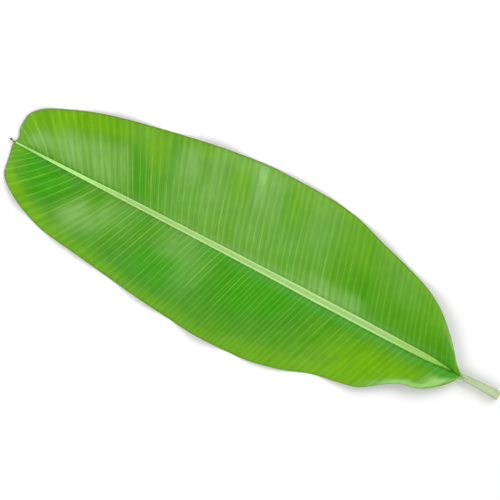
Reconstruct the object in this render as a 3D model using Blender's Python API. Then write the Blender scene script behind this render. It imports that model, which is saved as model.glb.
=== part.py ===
"""Banana leaf lying face up: blade, midrib and cut petiole grown as one closed solid.

+X runs along the midrib to the tip, +Z comes out of the leaf's upper face and the leaf lies on
Z = 0, with its plan centred on the origin. Sizes below are in millimetres and degrees; the mesh
is in metres. "Left" is the half on the +Y side and "right" is the half on the -Y side.
"""

import math

import bmesh
import bpy
from mathutils import Vector

NAME = "banana_leaf"
MM = 0.001

# Overall lengths along the midrib, measured from the blade's base
BLADE_LENGTH = 817.0
PETIOLE_LENGTH = 70.0
SPUR_LENGTH = 10.0

# Margin of each half: place of a lateral vein's root on the midrib, then the place of its
# outer end along the midrib and away from it
LEFT_MARGIN = (
    (0, 0, 0), (2, 2, 9), (6, 13, 23), (16, 30, 38), (28, 46, 48.5), (43, 62, 54.5), (59, 79, 57.5),
    (86, 111, 76), (98, 127, 88), (113, 143, 96.5), (145, 176, 104), (177, 208, 109.5),
    (237, 273, 130.5), (299, 338, 142), (364, 402, 143.5), (445, 483, 137), (509, 548, 129.5),
    (598, 645, 116), (648, 710, 107), (677, 743, 96.5), (712, 775, 81), (746, 802, 61.5),
    (762, 810, 50), (784, 814, 30), (803, 817, 13), (811, 818.5, 6), (817, 817, 0),
)
RIGHT_MARGIN = (
    (0, 0, 0), (11, 14, 12), (21, 30, 32), (33, 46, 49.5), (60, 79, 79.5), (90, 111, 98.5),
    (120, 143, 111), (180, 208, 130.5), (243, 273, 150.5), (290, 322, 156.5), (385, 419, 158),
    (448, 483, 152), (510, 548, 142), (595, 645, 123), (658, 710, 107), (721, 775, 82.5),
    (753, 806, 65), (773, 819, 45), (790, 820, 26), (806, 815, 9), (817, 817, 0),
)
VEIN_BEND = 1.25

# Midrib: half the width of the channel on top, half the width of the keel and its depth
RIM_HALF_WIDTH = (
    (-70, 4.4), (-25, 3.6), (-6, 2.2), (8, 1.5), (25, 1.9), (42, 3.6), (65, 5.0), (100, 5.6),
    (190, 6.6), (290, 5.7), (450, 4.9), (645, 4.2), (775, 2.4), (817, 1.5), (822, 1.3),
    (827, 0.6),
)
KEEL_HALF_WIDTH = (
    (-70, 7.6), (-45, 7.0), (-22, 6.0), (-4, 5.4), (30, 6.4), (80, 8.0), (200, 8.0), (400, 6.6),
    (600, 5.0), (760, 3.0), (817, 1.9),
    (822, 1.6), (827, 0.7),
)
MIDRIB_DEPTH = (
    (-70, 15.0), (0, 15.5), (80, 14.5), (200, 12.5), (400, 9.5), (600, 6.5), (760, 3.6),
    (817, 2.4), (827, 1.6),
)
CHANNEL_SHARE = 0.16
# Points down one side of the keel, as shares of its half width and of its depth
KEEL_PROFILE = ((0.80, 0.06), (1.00, 0.36), (0.88, 0.74), (0.48, 1.00))

# Form of the lying leaf
BLADE_THICKNESS = 0.9
ARCH_START = 150.0
ARCH_RISE = 13.0
CREST_RISE = 9.0
CREST_REACH = 30.0
CREST_SHIFT = 0.62
DROOP_POWER = 1.7
LOBE_LENGTH = 135.0
LOBE_LIFT = {"left": 9.0, "right": 5.0}
EDGE_WAVE = 6.0
EDGE_WAVE_LENGTH = {"left": 118.0, "right": 152.0}
EDGE_WAVE_START = {"left": 70.0, "right": 105.0}
SLOW_WAVE_SHARE = 0.30
SLOW_WAVE_RATE = 0.37
SPUR_SIDE = 0.15
PETIOLE_SIDE = 2.0
SPUR_RISE = 0.45

# Raised lateral ribs, one on every third row
ROWS_PER_RIB = 3
RIB_HEIGHT = 1.2
RIB_RUN_IN = 0.10

# Rows along the leaf and columns across each half of the blade
BLADE_ROWS = 108
ROW_CROWDING = 0.30
PETIOLE_ROWS = 5
SPUR_ROWS = 3
BLADE_COLUMNS = 7
CHANNEL_COLUMNS = 6

WELD = 1e-4
SMOOTH_ANGLE = 40.0

# Linear colour of the fresh upper face
LEAF_GREEN = (0.14, 0.40, 0.03, 1.0)
LEAF_ROUGHNESS = 0.45


def clear_scene():
    """Start from an empty scene."""
    for thing in list(bpy.data.objects):
        bpy.data.objects.remove(thing, do_unlink=True)


def ease(share):
    """Rise smoothly from 0 to 1 as share goes from 0 to 1."""
    held = min(max(share, 0.0), 1.0)
    return held * held * (3.0 - 2.0 * held)


def slope_at(places, heights, index):
    """Slope of a curve that keeps the rise and fall of its points."""
    if index in (0, len(places) - 1):
        near = 1 if index == 0 else index
        return (heights[near] - heights[near - 1]) / (places[near] - places[near - 1])
    before = (heights[index] - heights[index - 1]) / (places[index] - places[index - 1])
    after = (heights[index + 1] - heights[index]) / (places[index + 1] - places[index])
    if before * after <= 0.0:
        return 0.0
    return 2.0 * before * after / (before + after)


def curve(points, place, column=1):
    """Read a smooth curve through points, whose first values rise, at one place."""
    places = [point[0] for point in points]
    heights = [point[column] for point in points]
    held = min(max(place, places[0]), places[-1])
    index = 1
    while index < len(places) - 1 and held > places[index]:
        index += 1
    run = places[index] - places[index - 1]
    share = (held - places[index - 1]) / run
    start = heights[index - 1]
    end = heights[index]
    start_slope = slope_at(places, heights, index - 1) * run
    end_slope = slope_at(places, heights, index) * run
    turn = start_slope + end_slope - 2.0 * (end - start)
    swing = 3.0 * (end - start) - 2.0 * start_slope - end_slope
    return start + share * (start_slope + share * (swing + share * turn))


def rim_height(place):
    """Height of the midrib's two rims above the surface that the leaf lies on."""
    share = (place - ARCH_START) / (BLADE_LENGTH - ARCH_START)
    arch = ARCH_RISE * math.sin(math.pi * min(max(share, 0.0), 1.0)) ** 2
    curl = SPUR_RISE * max(place - BLADE_LENGTH, 0.0)
    return curve(MIDRIB_DEPTH, place) + arch + curl


def side_shift(place):
    """Sideways bend of the dry tip, to the right, and of the petiole, to the left."""
    spur = SPUR_SIDE * max(place - BLADE_LENGTH, 0.0)
    petiole = PETIOLE_SIDE * max(-place, 0.0) / PETIOLE_LENGTH
    return petiole - spur


def edge_height(side, root):
    """Height of the margin, where the vein that starts at root ends."""
    turns = (root - EDGE_WAVE_START[side]) / EDGE_WAVE_LENGTH[side]
    slow = 1.0 + SLOW_WAVE_SHARE * math.cos(2.0 * math.pi * turns * SLOW_WAVE_RATE)
    wave = EDGE_WAVE * slow * 0.5 * (1.0 - math.cos(2.0 * math.pi * turns))
    lying = BLADE_THICKNESS + wave
    to_tip = ease((root - BLADE_LENGTH + LOBE_LENGTH) / LOBE_LENGTH)
    lying += to_tip * (rim_height(BLADE_LENGTH) - lying)
    lobe = root / LOBE_LENGTH
    lift = LOBE_LIFT[side] * math.sin(math.pi * min(lobe, 1.0))
    return rim_height(0.0) + ease(lobe) * (lying - rim_height(0.0)) + lift


def blade_point(side, root, share, row):
    """Point of the blade's upper face, at a share of the way along one lateral vein."""
    margin = LEFT_MARGIN if side == "left" else RIGHT_MARGIN
    rim = curve(RIM_HALF_WIDTH, root)
    reach = curve(margin, root, 2)
    forward = curve(margin, root, 1) - root
    droop = share ** DROOP_POWER
    crest = CREST_RISE * (1.0 - math.exp(-reach / CREST_REACH))
    height = rim_height(root) * (1.0 - droop) + edge_height(side, root) * droop
    height += crest * math.sin(math.pi * share ** CREST_SHIFT)
    rib = RIB_HEIGHT * ease(share / RIB_RUN_IN) * ease(reach / CREST_REACH)
    if row % ROWS_PER_RIB == 0:
        height += rib
    along = root + forward * share ** VEIN_BEND
    across = rim + max(reach - rim, 0.0) * share
    return along, across if side == "left" else -across, height


def blade_row(side, root, row, drop):
    """One half's points from its margin to the rim; all of them sit on the rim off the blade."""
    shares = [1.0 - step / BLADE_COLUMNS for step in range(BLADE_COLUMNS + 1)]
    if 0.0 < root < BLADE_LENGTH:
        points = [blade_point(side, root, share, row) for share in shares]
    else:
        rim = curve(RIM_HALF_WIDTH, root)
        shift = side_shift(root)
        turned = rim if side == "left" else -rim
        points = [(root, turned + shift, rim_height(root))] * len(shares)
    return [(along, across, height - drop) for along, across, height in points]


def channel_row(place):
    """Hollow top of the midrib between its rims, from left to right."""
    rim = curve(RIM_HALF_WIDTH, place)
    depth = CHANNEL_SHARE * min(rim, curve(MIDRIB_DEPTH, place)) * 2.0
    points = []
    for step in range(1, CHANNEL_COLUMNS):
        share = 1.0 - 2.0 * step / CHANNEL_COLUMNS
        height = rim_height(place) - depth * (1.0 - share * share)
        points.append((place, rim * share + side_shift(place), height))
    return points


def keel_row(place):
    """Underside of the midrib, from right to left, with a flat strip along its bottom."""
    half = curve(KEEL_HALF_WIDTH, place)
    top = rim_height(place) - BLADE_THICKNESS
    depth = curve(MIDRIB_DEPTH, place) - BLADE_THICKNESS
    right = [(-half * across, top - depth * down) for across, down in KEEL_PROFILE]
    left = [(-across, height) for across, height in reversed(right)]
    return [(place, across + side_shift(place), height) for across, height in right + left]


def ring(place, row):
    """Closed section of the leaf: upper face from left to right, then the underside back."""
    upper = blade_row("left", place, row, 0.0) + channel_row(place)
    upper += reversed(blade_row("right", place, row, 0.0))
    lower = blade_row("right", place, row, BLADE_THICKNESS) + keel_row(place)
    lower += reversed(blade_row("left", place, row, BLADE_THICKNESS))
    return upper + lower


def row_places():
    """Places of the sections along the midrib, closer together at the blade's two ends."""
    places = [-PETIOLE_LENGTH * (1.0 - step / PETIOLE_ROWS) for step in range(PETIOLE_ROWS)]
    for step in range(BLADE_ROWS + 1):
        share = step / BLADE_ROWS
        crowding = ROW_CROWDING * math.sin(2.0 * math.pi * share) / (2.0 * math.pi)
        places.append(BLADE_LENGTH * (share - crowding))
    places += [BLADE_LENGTH + SPUR_LENGTH * (step + 1) / SPUR_ROWS for step in range(SPUR_ROWS)]
    return places


def ring_size():
    """Number of points in one section."""
    return 4 * (BLADE_COLUMNS + 1) + CHANNEL_COLUMNS - 1 + 2 * len(KEEL_PROFILE)


def split_faces(bm):
    """Split the upper face and the underside into triangles along the same diagonals."""
    upper_columns = 2 * BLADE_COLUMNS + CHANNEL_COLUMNS
    upper = []
    lower = []
    for index, face in enumerate(bm.faces):
        group = upper if index % ring_size() < upper_columns else lower
        group.append(face)
    bmesh.ops.triangulate(bm, faces=upper, quad_method="FIXED")
    bmesh.ops.triangulate(bm, faces=lower, quad_method="ALTERNATE")


def skin_sections():
    """Loft the sections into one closed mesh, with an end face at the cut and at the dry tip."""
    bm = bmesh.new()
    rings = []
    for row, place in enumerate(row_places()):
        rings.append([bm.verts.new(point) for point in ring(place, row)])
    for near, far in zip(rings, rings[1:]):
        for step in range(ring_size()):
            after = (step + 1) % ring_size()
            bm.faces.new((near[step], near[after], far[after], far[step]))
    split_faces(bm)
    bm.faces.new(list(reversed(rings[0])))
    bm.faces.new(rings[-1])
    bmesh.ops.remove_doubles(bm, verts=bm.verts[:], dist=WELD)
    bmesh.ops.triangulate(bm, faces=[face for face in bm.faces if len(face.verts) > 3])
    bmesh.ops.recalc_face_normals(bm, faces=bm.faces[:])
    return bm


def place_on_origin(bm):
    """Centre the plan on the origin, lay the lowest point on Z = 0 and turn it into metres."""
    low = [min(vert.co[axis] for vert in bm.verts) for axis in range(3)]
    high = [max(vert.co[axis] for vert in bm.verts) for axis in range(3)]
    centre = Vector(((low[0] + high[0]) / 2, (low[1] + high[1]) / 2, low[2]))
    bmesh.ops.translate(bm, vec=-centre, verts=bm.verts[:])
    bmesh.ops.scale(bm, vec=Vector((MM, MM, MM)), verts=bm.verts[:])


def leaf_material():
    """Fresh leaf green with a soft waxy sheen."""
    material = bpy.data.materials.new(NAME)
    material.use_nodes = True
    shader = material.node_tree.nodes["Principled BSDF"]
    shader.inputs["Base Color"].default_value = LEAF_GREEN
    shader.inputs["Roughness"].default_value = LEAF_ROUGHNESS
    shader.inputs["Metallic"].default_value = 0.0
    return material


def build_leaf(collection):
    """Make the leaf's object in its collection."""
    bm = skin_sections()
    place_on_origin(bm)
    mesh = bpy.data.meshes.new(NAME)
    bm.to_mesh(mesh)
    bm.free()
    mesh.shade_smooth()
    mesh.set_sharp_from_angle(angle=math.radians(SMOOTH_ANGLE))
    mesh.materials.append(leaf_material())
    leaf = bpy.data.objects.new(NAME, mesh)
    collection.objects.link(leaf)
    return leaf


def main():
    """Build the leaf in a collection named for it."""
    clear_scene()
    collection = bpy.data.collections.new(NAME)
    bpy.context.scene.collection.children.link(collection)
    build_leaf(collection)


main()
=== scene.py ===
"""Banana leaf lying face up: the finished look of its blade, veins, midrib, petiole and dry tip.

The CAD frame gives the leaf's place and size. +X runs along the midrib to the tip, +Z comes out of
the upper face. Forms are worked out in millimetres along, across and above, and become metres when
a mesh is made. "Left" is the half on the +Y side and "right" is the half on the -Y side.
"""

import math
from functools import partial

import bmesh
import bpy
import numpy as np
from bpy.props import FloatProperty, FloatVectorProperty, IntProperty, PointerProperty
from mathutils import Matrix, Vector


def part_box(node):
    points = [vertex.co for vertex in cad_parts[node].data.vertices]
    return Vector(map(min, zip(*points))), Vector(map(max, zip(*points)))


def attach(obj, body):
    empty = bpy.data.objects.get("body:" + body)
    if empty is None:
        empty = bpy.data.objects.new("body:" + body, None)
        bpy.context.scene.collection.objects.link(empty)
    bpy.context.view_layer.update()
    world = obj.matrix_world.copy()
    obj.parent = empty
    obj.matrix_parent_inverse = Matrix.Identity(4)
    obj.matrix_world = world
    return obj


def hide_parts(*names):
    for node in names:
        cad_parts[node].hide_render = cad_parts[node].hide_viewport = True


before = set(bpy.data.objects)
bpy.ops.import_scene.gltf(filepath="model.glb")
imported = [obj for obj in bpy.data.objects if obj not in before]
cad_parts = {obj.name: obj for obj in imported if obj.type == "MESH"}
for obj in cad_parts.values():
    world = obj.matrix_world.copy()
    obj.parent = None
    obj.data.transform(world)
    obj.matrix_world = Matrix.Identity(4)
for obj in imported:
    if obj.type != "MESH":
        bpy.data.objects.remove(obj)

bl_info = {
    "name": "Banana leaf",
    "version": (1, 0, 0),
    "blender": (4, 5, 0),
    "location": "View3D > Sidebar > Leaf",
    "description": "Builds a whole banana leaf with its veins, midrib, cut petiole and dry tip",
    "category": "Object",
}

NODE = "banana_leaf"
BODY = "root"
MM = 0.001
CAD_LOW = np.array(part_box(NODE)[0])
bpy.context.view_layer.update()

# Lengths along the midrib, from the blade's base
BLADE_LENGTH = 817.0
PETIOLE_LENGTH = 70.0

# Margin of each half: place of a lateral vein's root on the midrib, then the place of its outer
# end along the midrib and away from it
LEFT_MARGIN = (
    (0, 0, 0), (2, 2, 9), (6, 13, 23), (16, 30, 38), (28, 46, 48.5), (43, 62, 54.5), (59, 79, 57.5),
    (86, 111, 76), (98, 127, 88), (113, 143, 96.5), (145, 176, 104), (177, 208, 109.5),
    (237, 273, 130.5), (299, 338, 142), (364, 402, 143.5), (445, 483, 137), (509, 548, 129.5),
    (598, 645, 116), (648, 710, 107), (677, 743, 96.5), (712, 775, 81), (746, 802, 61.5),
    (762, 810, 50), (784, 814, 30), (803, 817, 13), (811, 818.5, 6), (817, 817, 0),
)
RIGHT_MARGIN = (
    (0, 0, 0), (11, 14, 12), (21, 30, 32), (33, 46, 49.5), (60, 79, 79.5), (90, 111, 98.5),
    (120, 143, 111), (180, 208, 130.5), (243, 273, 150.5), (290, 322, 156.5), (385, 419, 158),
    (448, 483, 152), (510, 548, 142), (595, 645, 123), (658, 710, 107), (721, 775, 82.5),
    (753, 806, 65), (773, 819, 45), (790, 820, 26), (806, 815, 9), (817, 817, 0),
)
MARGIN = {"left": LEFT_MARGIN, "right": RIGHT_MARGIN}
TURN = {"left": 1.0, "right": -1.0}
VEIN_BEND = 1.25

# The blade's base in the frame: the petiole ends at the CAD box's low X, and the right half, which
# is the wider one, reaches its low Y
BLADE_BASE = CAD_LOW + np.array((PETIOLE_LENGTH, max(row[2] for row in RIGHT_MARGIN), 0.0)) * MM

# Midrib: half the width of the channel on top, half the width of the keel and its depth
RIM_HALF_WIDTH = (
    (-70, 5.2), (-45, 4.7), (-22, 4.0), (-8, 3.5), (4, 2.8), (14, 2.1), (25, 2.3), (40, 3.3),
    (55, 4.2), (65, 4.7), (100, 5.3), (190, 6.0), (260, 6.0), (350, 5.4), (450, 4.9), (540, 4.5),
    (615, 4.2), (675, 3.2), (720, 2.8), (755, 2.3), (785, 1.9), (817, 1.4), (822, 1.3), (827, 0.6),
)
KEEL_HALF_WIDTH = (
    (-70, 7.5), (-45, 6.7), (-22, 5.6), (-4, 5.1), (30, 6.2), (80, 8.0), (200, 8.0), (400, 6.6),
    (600, 5.0), (760, 3.0), (817, 1.9), (822, 1.6), (827, 0.7),
)
MIDRIB_DEPTH = (
    (-70, 15.0), (0, 15.5), (80, 14.5), (200, 12.5), (400, 9.5), (600, 6.5), (760, 3.6),
    (817, 2.4), (827, 1.6),
)
# Section of the midrib: points of the channel and of the belly, as shares of the half width and of
# the depth there, and the sizes of the lip and the neck between them
CHANNEL_SHARE = 0.09
CHANNEL_SECTION = ((0.0, 1.0), (0.40, 0.78), (0.74, 0.30))
BELLY_SECTION = ((1.0, 0.38), (0.92, 0.74))
LIP_RISE = 0.25
LIP_SHARE = 0.1
LIP_INSIDE = 0.12
LIP_OUTSIDE = 0.30
LIP_DROP = 0.6
NECK_SHARE = 0.80
NECK_CLEARANCE = 0.45
NECK_DROP = 0.12
KEEL_FLAT = 0.50
# Where the blade's halves leave the midrib. They meet over it at the base, in a fold, and the
# midrib dips under them there.
FOLD_END = 25
BLADE_ROOT = ((0, 0.0), (12, 0.0), (17, 1.2)) + tuple(
    row for row in RIM_HALF_WIDTH if FOLD_END <= row[0] <= BLADE_LENGTH)
# The midrib bends a little to and fro, here towards the left, and so do the halves beside it
MIDRIB_BOW = (
    (-60, 0.0), (-35, 0.3), (-22, 0.9), (-10, 1.3), (0, 2.0), (14, 1.0), (28, 0.1), (60, 0.0),
    (100, 0.0), (190, -0.6), (260, -0.9), (350, -1.4), (450, -1.5), (540, -1.3), (615, -1.2),
    (675, -0.5), (755, -0.2), (800, -0.4), (817, 0.0),
)
DIP_DEPTH = 1.1
# Windows, by start, length of the start, end and length of the end: where the midrib dips, where
# its lips are flat, and where its fibres lie hidden under the fold, along it and down its section
DIP = (-14.0, 12.0, 52.0, 26.0)
FLAT_LIPS = (-14.0, 12.0, 72.0, 26.0)
HIDDEN_ALONG = (0.0, 8.0, 80.0, 25.0)
HIDDEN_DOWN = (0.27, 0.06, 0.62, 0.06)

# Form of the lying leaf
ARCH_START = 150.0
ARCH_RISE = 13.0
CREST_RISE = 9.0
CREST_REACH = 30.0
CREST_SHIFT = 0.62
DROOP_POWER = 1.7
LYING_MARGIN = 0.9
LOBE_LENGTH = 135.0
LOBE_LIFT = {"left": 9.0, "right": 5.0}
EDGE_WAVE = 6.0
EDGE_WAVE_LENGTH = {"left": 118.0, "right": 152.0}
EDGE_WAVE_START = {"left": 70.0, "right": 105.0}
SLOW_WAVE_SHARE = 0.30
SLOW_WAVE_RATE = 0.37
SPUR_SIDE = 0.15
SPUR_RISE = 0.45
PETIOLE_SIDE = 2.0

# Fine relief that the smooth form carries
VEIN_JITTER = 0.24
SPACING_STEPS = 400
RELIEF_SEED = 7
ROOT_TUCK = 0.9
ROOT_SINK = 0.5
CREASE_REACH = 1.6
CREASE_DEPTH = 0.30
PLEAT_EXPONENT = 0.7
PLEAT_MEAN = 0.6
PLEAT_START = 6.0
PLEAT_FADE = 0.7
SWELLS = ((37.0, 0.16, 0.4), (61.0, 0.26, 2.1), (97.0, 0.34, 4.0), (151.0, 0.40, 1.2))
SWELL_SLANT = 1.3
SWELL_START = 0.3
SWELL_FADE = 0.4
ROOT_THICKNESS = 1.0
THINNING = 6
LYING_GAP = 0.15
KEEL_GAP = 0.25
ROW_CROWDING = 0.30
COLUMN_CROWDING = 1.15
WELD = 1e-7

# UV places: the upper face and the underside of one half each take a little under half of V
UV_NAME = "surface"
UPPER_START = 0.02
UPPER_SPAN = 0.46
TURN_PAST = 0.01
OFF_MAP = (-1.0, -1.0)

# Midrib, cut end and dry tip. SECTION_DENSITY says how close the sections lie, by place along.
# CUT_RINGS go from the cut's middle to its skin and back inside, by share of its outline and depth.
FLUTES = 11.0
FLUTE_END = 0.85
FLUTE_RUN = 0.1
GROOVE_END = 0.30
FULL_KEEL = 8.0
SECTION_DENSITY = ((-70, 1.6), (-12, 3.2), (40, 3.0), (120, 1.0), (400, 0.8), (650, 0.8), (780, 1.2),
                   (817.5, 2.4))
CUT_PROUD = 0.05
CUT_INSET = 0.96
CUT_DEPTH = 0.8
CUT_RINGS = ((0.04, 0.33), (0.12, 0.33), (0.22, 0.33), (0.34, 0.32), (0.48, 0.30), (0.62, 0.26),
             (0.76, 0.20), (0.88, 0.10), (0.95, -0.02), (0.985, -0.10), (1.0, 0.02), (0.95, 0.5),
             (0.5, 0.5), (0.05, 0.5))
CELL_RADIUS = 0.30
CELL_WALL = 0.06
CELL_SIZE = ((0.6, 0.8, 1.0), (1.25, 1.2, 1.0))
CELL_DENSITY = 2.0e6
TIP_HALF_WIDTH = (
    (815, 1.0), (817, 1.9), (819, 1.6), (820.5, 1.15), (822, 1.15), (823.5, 1.7), (824.8, 1.85),
    (826, 1.5), (826.7, 0.9), (827, 0.2),
)
TIP_STEPS = 64
TIP_SIDES = 32
# Depth of each set of folds, how many there are round the tip, and their twist along it
TIP_FOLDS = ((0.13, 3.0, 6.0), (0.08, 7.0, -11.0))
TIP_FLATNESS = 0.55
TIP_ROUNDING = 0.25
TIP_SWAY = 0.3
TIP_SWAY_TURN = 7.0
CURL_PATH = ((814.4, -9.8, 2.9), (815.6, -7.2, 3.2), (816.6, -4.6, 3.1), (817.2, -2.2, 2.7))
CURL_RADIUS = 0.6
CURL_FLATNESS = 0.8
CURL_ENDS = 6
CURL_CLOSED = 0.02
CURL_STEPS = 24
CURL_SIDES = 16
FIBRES = 26
FIBRE_REACH = 0.6
UPPER_DOWN = 0.50
UPPER_RUN = 0.05
UPPER_FADE = 0.6
BLADE_START = -5.0
BLADE_RUN = 25.0
FOLD_FADE = 0.95
VEIN_REACH = 0.97
SEAM_START = 0.001
LINE_INPUTS = {
    "Lines": "Int", "First Line": "Vector", "Line Step": "Vector", "Line Reach": "Vector",
    "Points": "Int", "Radius": "Float", "End Radius Share": "Float", "Unevenness": "Float",
    "Unevenness Scale": "Float", "Clearness Share": "Float", "Sides": "Int", "Seed": "Float",
}

# Stage: the photograph's scale, turn and middle, and the directions of the lamps
PHOTO_PIXELS = 500.0
MM_PER_PIXEL = 1.62
SENSOR_WIDTH = 36.0
VIEW_TURN = 207.58
VIEW_MIDDLE = (0.0182, -0.0140)
LEAF_HEIGHT_SEEN = 0.018
FLOOR_REACH = 4.0
FLOOR_CORNERS = ((-1, -1), (1, -1), (1, 1), (-1, 1))
LAMP_DISTANCE = 3.0
KEY_SIZE = (3.0, 2.0)
FILL_SIZE = (2.6, 1.8)
KEY_DIRECTION = (-0.30, -1.0, 1.0)
FILL_DIRECTIONS = ((1.0, 0.1, 0.75), (0.35, 1.0, 0.85), (-0.8, 0.6, 0.75))

# Veins sweep forward as they leave the midrib, by this much, and have done so at this distance
VEIN_SWEEP = {"left": 8.0, "right": 9.5}
SWEEP_REACH = 28.0

# Distance between lateral veins as a share of its mean, by the place of their roots
VEIN_SPACING = {
    "left": ((0, 1.15), (200, 1.15), (320, 0.80), (400, 0.79), (500, 1.00), (600, 1.02), (690, 1.32),
             (817, 1.25)),
    "right": ((0, 0.92), (130, 0.93), (210, 1.12), (300, 0.97), (420, 0.95), (540, 1.00),
              (700, 1.10), (817, 1.08)),
}

# How clear the lateral veins are, by the place of their roots
VEIN_CLEARNESS = {
    "left": ((0, 0.15), (90, 0.20), (170, 0.30), (245, 0.52), (400, 0.60), (500, 0.78), (600, 0.85),
             (817, 0.72)),
    "right": ((0, 0.05), (90, 0.12), (200, 0.30), (270, 0.62), (420, 0.70), (600, 0.75), (817, 1.00)),
}

# Soft patches on the upper face: place of the vein's root, share of the way out, half width
# across the veins, half length as a share, and strength
# Whitish patches, partly the wax bloom and partly painted sheen; where their strength passes 1 they are
# painted glare
BLOOM_AND_SHEEN_PATCHES = {
    "right": (
        (765, 0.38, 26, 0.23, 0.90), (715, 0.38, 20, 0.27, 1.00), (665, 0.36, 32, 0.27, 0.85),
        (625, 0.42, 12, 0.26, 0.50), (680, 0.10, 60, 0.12, 0.12),
        (545, 0.45, 14, 0.40, 0.20), (520, 0.72, 18, 0.20, 0.85), (480, 0.65, 20, 0.25, 0.40),
        (500, 0.30, 50, 0.30, 0.40), (405, 0.78, 12, 0.22, 1.00), (380, 0.72, 16, 0.22, 0.50),
        (400, 0.28, 55, 0.30, 0.40), (330, 0.35, 30, 0.35, 0.20), (290, 0.60, 25, 0.40, 0.25),
        (260, 0.10, 45, 0.10, 0.70), (205, 0.12, 20, 0.10, 0.55), (330, 0.00, 230, 0.07, 0.40),
        (22, 0.95, 20, 0.14, 1.20), (410, 0.93, 90, 0.12, 0.35),
    ),
    "left": (
        (655, 0.48, 14, 0.22, 0.80), (620, 0.40, 16, 0.30, 0.55), (640, 0.60, 20, 0.25, 0.35),
        (500, 0.20, 34, 0.20, 0.55), (455, 0.42, 26, 0.25, 0.35), (600, 0.22, 30, 0.25, 0.25),
        (20, 0.64, 22, 0.26, 1.50), (60, 0.93, 42, 0.13, 1.40),
    ),
}
RIPE_PATCHES = {
    "right": (
        (745, 0.80, 64, 0.26, 0.90), (660, 0.88, 60, 0.16, 0.90), (730, 0.62, 14, 0.25, 0.50),
        (575, 0.76, 24, 0.28, 0.90), (500, 0.94, 40, 0.12, 0.80), (437, 0.76, 15, 0.25, 1.00),
        (335, 0.82, 20, 0.26, 0.80), (300, 0.90, 16, 0.15, 0.50), (225, 0.78, 36, 0.30, 0.40),
        (110, 0.74, 120, 0.36, 0.35), (25, 0.92, 30, 0.18, 0.60),
    ),
    "left": (
        (760, 0.90, 40, 0.16, 1.00), (690, 0.92, 60, 0.12, 0.80), (560, 0.97, 120, 0.08, 0.60),
        (250, 0.92, 110, 0.16, 0.80), (120, 0.76, 90, 0.38, 0.95), (170, 0.45, 60, 0.40, 0.30),
        (110, 0.40, 60, 0.30, 0.40),
    ),
}
# Deep green patches, partly the leaf's own deeper green and partly painted shade, most of it over the
# left half
DEEP_AND_SHADE_PATCHES = {
    "right": (
        (795, 0.40, 14, 0.50, 0.50), (598, 0.32, 15, 0.42, 1.00), (560, 0.30, 20, 0.40, 0.45),
        (545, 0.75, 10, 0.25, 0.60), (330, 0.50, 14, 0.40, 0.40), (205, 0.50, 30, 0.55, 0.45),
        (120, 0.30, 80, 0.60, 0.35), (20, 0.35, 40, 0.60, 0.80),
    ),
    "left": (
        (785, 0.45, 30, 0.50, 1.00), (722, 0.42, 58, 0.55, 1.20), (530, 0.60, 80, 0.38, 0.84),
        (400, 0.38, 120, 0.52, 0.72), (300, 0.22, 110, 0.36, 0.60), (350, 0.00, 220, 0.12, 0.50),
        (580, 0.12, 60, 0.15, 0.50), (150, 0.08, 90, 0.12, 0.60), (30, 0.06, 60, 0.20, 1.00),
        (20, 0.28, 20, 0.26, 1.00), (100, 0.00, 100, 0.05, 0.80),
    ),
}

PATCHES = {"bloom_and_sheen": BLOOM_AND_SHEEN_PATCHES, "ripe": RIPE_PATCHES, "deep_and_shade": DEEP_AND_SHADE_PATCHES}
PATCH_EDGE_ACROSS = 2.6
PATCH_EDGE_ALONG = 3.2
PATCH_LIMIT = 1.5

# Finer patterns: veinlets between two lateral veins, and the size of a leaf cell in metres, drawn
# about ten times as coarse as it is
VEINLETS = 8.0
LEAF_CELL = 0.0006

# Node kinds are named without their family. A Map Range node's inputs are given in order: the
# value, the span that it covers and the span that it gives, which is 0 to 1 where none is named.
# A colour Mix node takes its share as 0 and its colours as 6 and 7, and a scaled vector its factor
# as 3.
NODE_FAMILIES = ("ShaderNode", "GeometryNode", "FunctionNode", "Node")
SMOOTH = {"interpolation_type": "SMOOTHSTEP"}

def linear(hex_colour):
    """Linear RGBA of an sRGB hex colour."""
    parts = [int(hex_colour[start:start + 2], 16) / 255.0 for start in (1, 3, 5)]
    values = [part / 12.92 if part <= 0.04045 else ((part + 0.055) / 1.055) ** 2.4 for part in parts]
    return (*values, 1.0)


# Colours that no user changes, from sRGB hex
YOUNG_VEIN = linear("#78be26")
UPPER_VEIN = linear("#6aa82c")
UNDER_VEIN = linear("#b4cf93")
MINT_GREEN = linear("#baee8f")
# Dark green painted shade of the fold at the blade's base, on the midrib and on the right half's margin
FOLD_SHADE_GREEN = linear("#336400")
BASE_YELLOW = linear("#98ca3e")
VIVID_GREEN = linear("#2f9200")
CUT_CREAM = linear("#d9e2b4")
CELL_GREEN = linear("#8da067")
DRY_BROWN = linear("#4a3a28")
STRAW = linear("#a8a070")
SCAR_BROWN = linear("#7a6238")
PETIOLE_OLIVE = linear("#8a9a6f")
# Pale green painted highlight on the rolled corner beside the tip
CURL_HIGHLIGHT_GREEN = linear("#c9e0a8")


def ease(share):
    """Rise smoothly from 0 to 1 as share goes from 0 to 1."""
    held = np.clip(share, 0.0, 1.0)
    return held * held * (3.0 - 2.0 * held)


def window(value, start, start_run, end, end_run):
    """Rise smoothly from 0 to 1 after start, and fall back to 0 before end."""
    return ease((value - start) / start_run) * ease((end - value) / end_run)


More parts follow.
